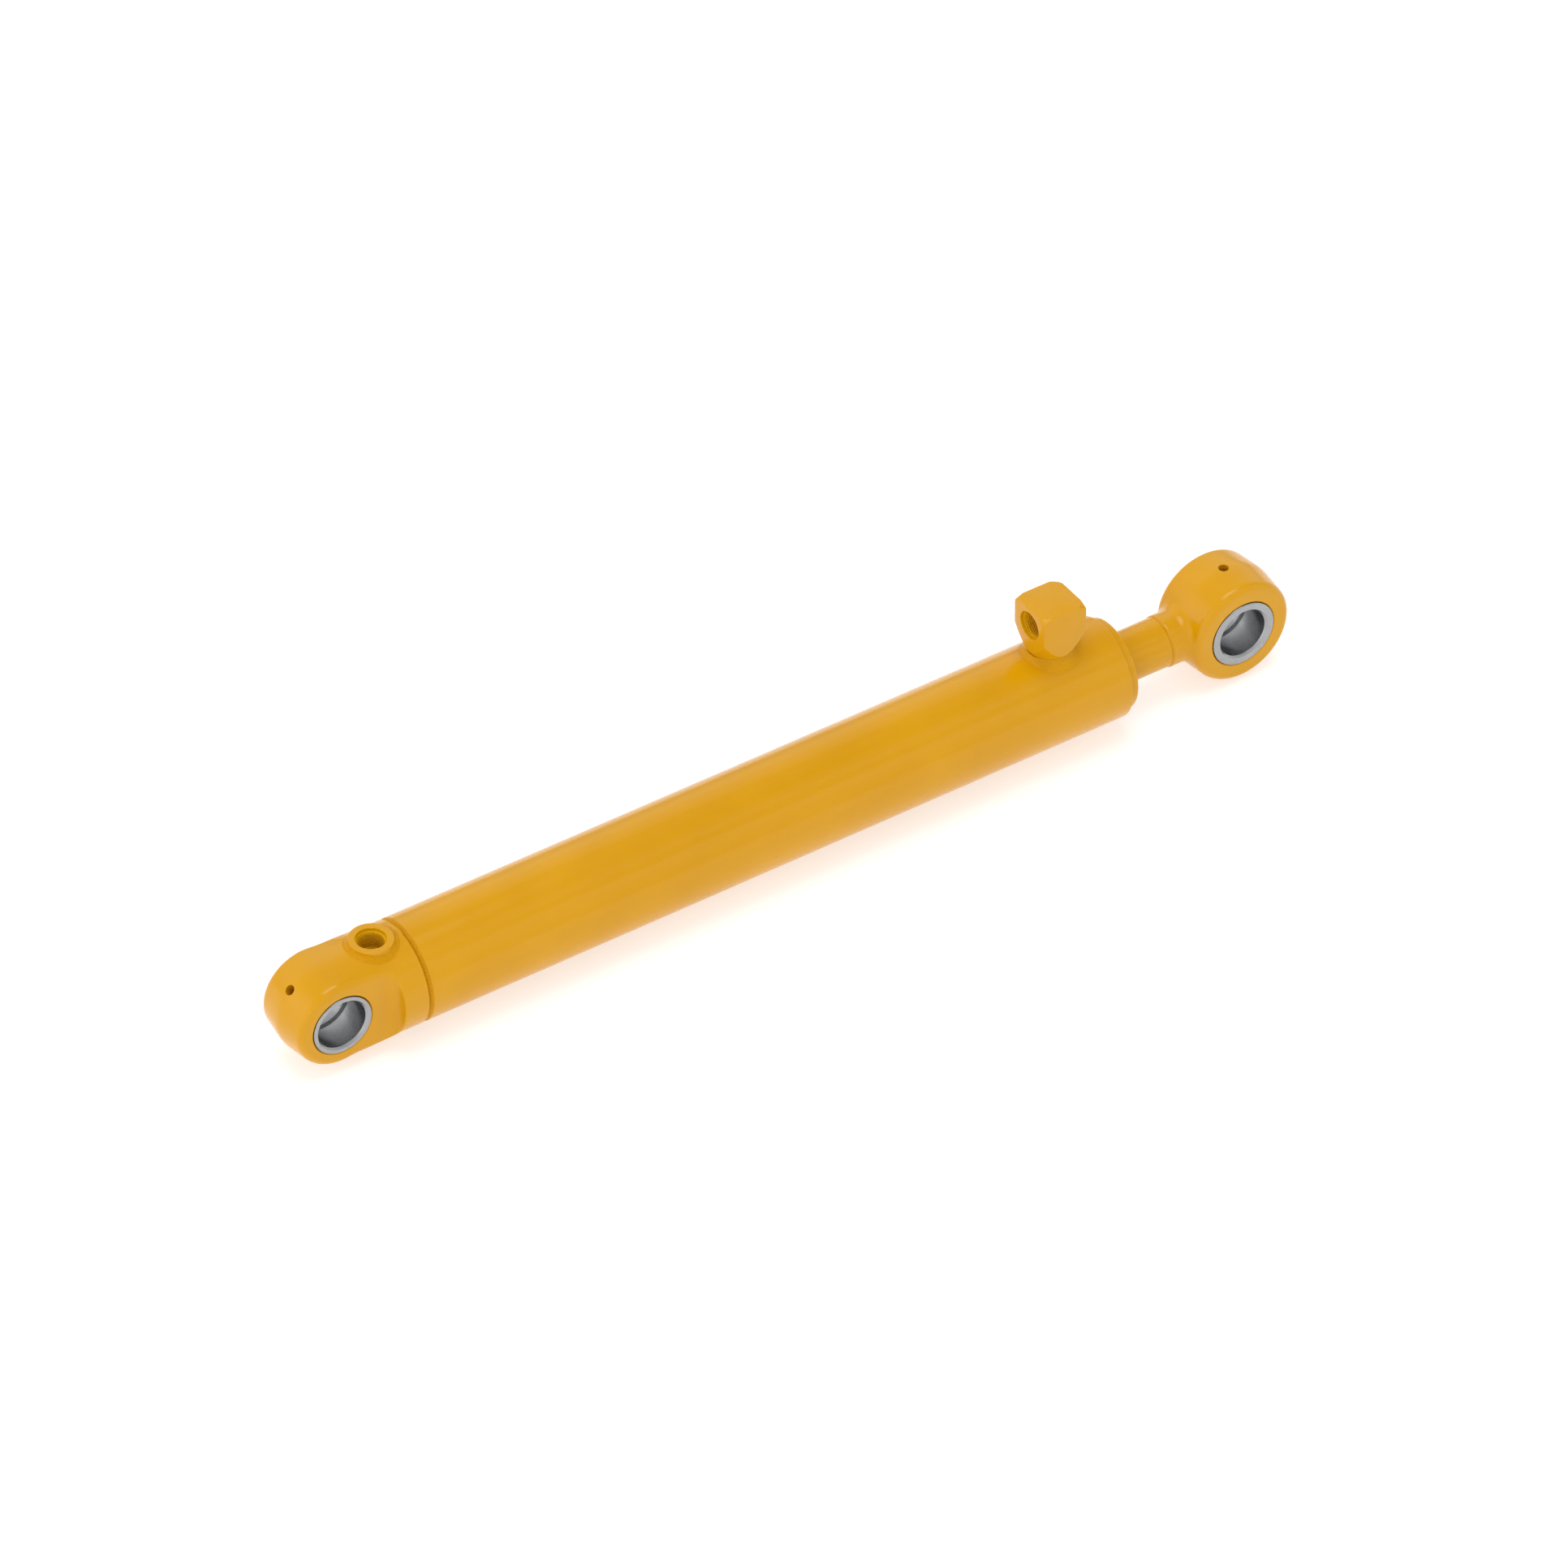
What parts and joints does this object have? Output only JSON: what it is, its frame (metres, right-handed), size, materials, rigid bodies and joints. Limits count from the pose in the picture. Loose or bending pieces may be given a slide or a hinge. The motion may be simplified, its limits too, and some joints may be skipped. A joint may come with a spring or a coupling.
{
  "type": "hydraulic cylinder",
  "caption": "Double-acting welded hydraulic cylinder with forged pin eyes, pressed steel bushings, a boss port on the cap and an elbow port at the gland.",
  "frame": {"origin": "centre of the cap eye's pin hole", "axes": "+X along the rod towards the rod eye, Y along both eyes' pins, +Z towards the side that both oil ports stand on"},
  "size_m": [0.662, 0.061, 0.0981],
  "materials": {
    "tube_paint": "smooth yellow enamel on drawn tube and turned parts",
    "forging_paint": "yellow enamel over a slightly uneven forged surface",
    "weld_paint": "yellow enamel over rippled weld metal",
    "bushing_steel": "bare turned steel, lightly oiled",
    "rod_chrome": "ground hard chrome; the stretch outside the gland is painted yellow with the rod in",
    "piston_iron": "turned",
    "plain_steel": "turned, oiled",
    "seal_rubber": "moulded nitrile",
    "seal_polyurethane": "moulded polyurethane",
    "seal_filled_ptfe": "bronze-filled PTFE",
    "guide_phenolic": "cloth-filled phenolic"
  },
  "bodies": {
    "barrel": {"barrel_tube": "tube_paint", "cap_end_eye": "forging_paint", "cap_weld_bead": "weld_paint", "cap_port_boss": "tube_paint", "cap_port_weld": "weld_paint", "cap_eye_bushing": "bushing_steel", "rod_port_elbow": "tube_paint", "rod_port_weld": "weld_paint", "head_gland": "tube_paint", "rod_wiper": "seal_polyurethane", "rod_seal": "seal_polyurethane", "rod_buffer_seal": "seal_filled_ptfe", "gland_wear_ring_outer": "guide_phenolic", "gland_wear_ring_inner": "guide_phenolic", "gland_oring": "seal_rubber", "gland_backup_ring": "seal_filled_ptfe"},
    "piston_seals": {"piston_seal": "seal_filled_ptfe", "piston_seal_energiser": "seal_rubber", "piston_wear_ring_front": "guide_phenolic", "piston_wear_ring_rear": "guide_phenolic"},
    "rod": {"piston_rod": "rod_chrome", "piston": "piston_iron", "piston_oring": "seal_rubber", "piston_nut": "plain_steel", "nut_set_screw": "plain_steel", "rod_eye": "forging_paint", "rod_eye_weld": "weld_paint", "rod_eye_bushing": "bushing_steel"}
  },
  "joints": [
    {"name": "rod_slide", "type": "slide", "parent": "barrel", "child": "piston_seals", "axis": [1, 0, 0], "range_m": [0, 0.355]},
    {"name": "rod_swivel", "type": "hinge", "parent": "piston_seals", "child": "rod", "pos_m": [0.1, 0, 0], "axis": [1, 0, 0], "continuous": true}
  ]
}
